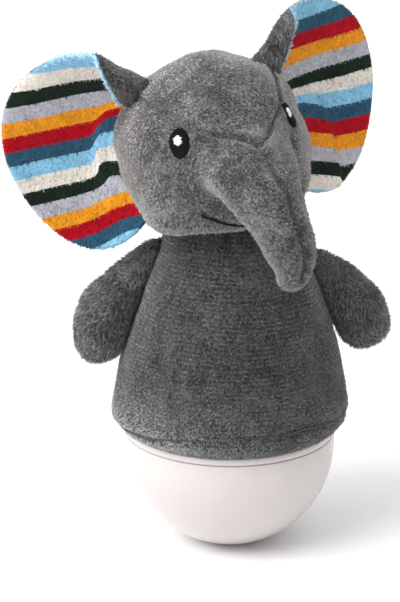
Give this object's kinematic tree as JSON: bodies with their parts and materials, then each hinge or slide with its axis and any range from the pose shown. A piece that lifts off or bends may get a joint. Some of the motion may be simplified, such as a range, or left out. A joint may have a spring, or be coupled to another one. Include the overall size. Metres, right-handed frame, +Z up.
{
  "type": "plush roly poly toy",
  "caption": "Stuffed elephant tumbler toy: a lift-off plush body, head, trunk, ears and arms over a round weighted plastic base with a chime inside.",
  "frame": {"origin": "middle of the small flat foot under the round base, where the standing toy meets the floor", "axes": "+Z up through the body, -Y is the way the face looks, +X is the toy's own left side"},
  "size_m": [0.1817, 0.1386, 0.2596],
  "materials": {
    "white_plastic": "gloss",
    "iron": "rough cast",
    "steel": "satin",
    "brass": "satin",
    "body_plush": "short pile",
    "head_plush": "short pile",
    "arm_plush": "longer pile",
    "ear_plush": "short pile",
    "striped_plush": "printed short pile",
    "lining": "plain weave",
    "filling": "loose fibre",
    "elastic": "woven elastic"
  },
  "bodies": {
    "base": {"base_bowl": "white_plastic", "base_cap": "white_plastic", "counterweight": "iron", "weight_screw_1": "steel", "weight_screw_2": "steel", "weight_screw_3": "steel", "cap_screw_1": "steel", "cap_screw_2": "steel", "cap_screw_3": "steel", "chime_frame": "steel", "chime_rod_1": "steel", "chime_rod_2": "steel", "chime_rod_3": "steel", "chime_rod_4": "steel"},
    "bail": {"chime_bail": "steel"},
    "clapper": {"chime_clapper": "brass"},
    "cover": {"body_skin": "body_plush", "body_stuffing": "filling", "body_lining": "lining", "hem_elastic": "elastic", "head_skin": "head_plush", "head_stuffing": "filling", "trunk_skin": "head_plush", "trunk_stuffing": "filling", "ear_left_front": "striped_plush", "ear_left_back": "ear_plush", "ear_right_front": "striped_plush", "ear_right_back": "ear_plush"},
    "arm_left": {"arm_left_skin": "arm_plush", "arm_left_stuffing": "filling"},
    "arm_right": {"arm_right_skin": "arm_plush", "arm_right_stuffing": "filling"}
  },
  "joints": [
    {"name": "cover_lift", "type": "slide", "parent": "base", "child": "cover", "axis": [0, 0, 1], "range_m": [0, 0.06]},
    {"name": "bail_swing", "type": "hinge", "parent": "base", "child": "bail", "pos_m": [0, 0, 0.0775], "axis": [1, 0, 0], "range_deg": [-11, 11]},
    {"name": "clapper_swing", "type": "hinge", "parent": "bail", "child": "clapper", "pos_m": [0, 0, 0.0665], "axis": [0, 1, 0], "range_deg": [-16, 16]},
    {"name": "arm_left_raise", "type": "hinge", "parent": "cover", "child": "arm_left", "pos_m": [0.0355, 0, 0.1455], "axis": [0, -1, 0], "range_deg": [0, 30], "stiffness_Nm_per_rad": 0.01},
    {"name": "arm_right_raise", "type": "hinge", "parent": "cover", "child": "arm_right", "pos_m": [-0.0355, 0, 0.1455], "axis": [0, 1, 0], "range_deg": [0, 30], "stiffness_Nm_per_rad": 0.01}
  ]
}
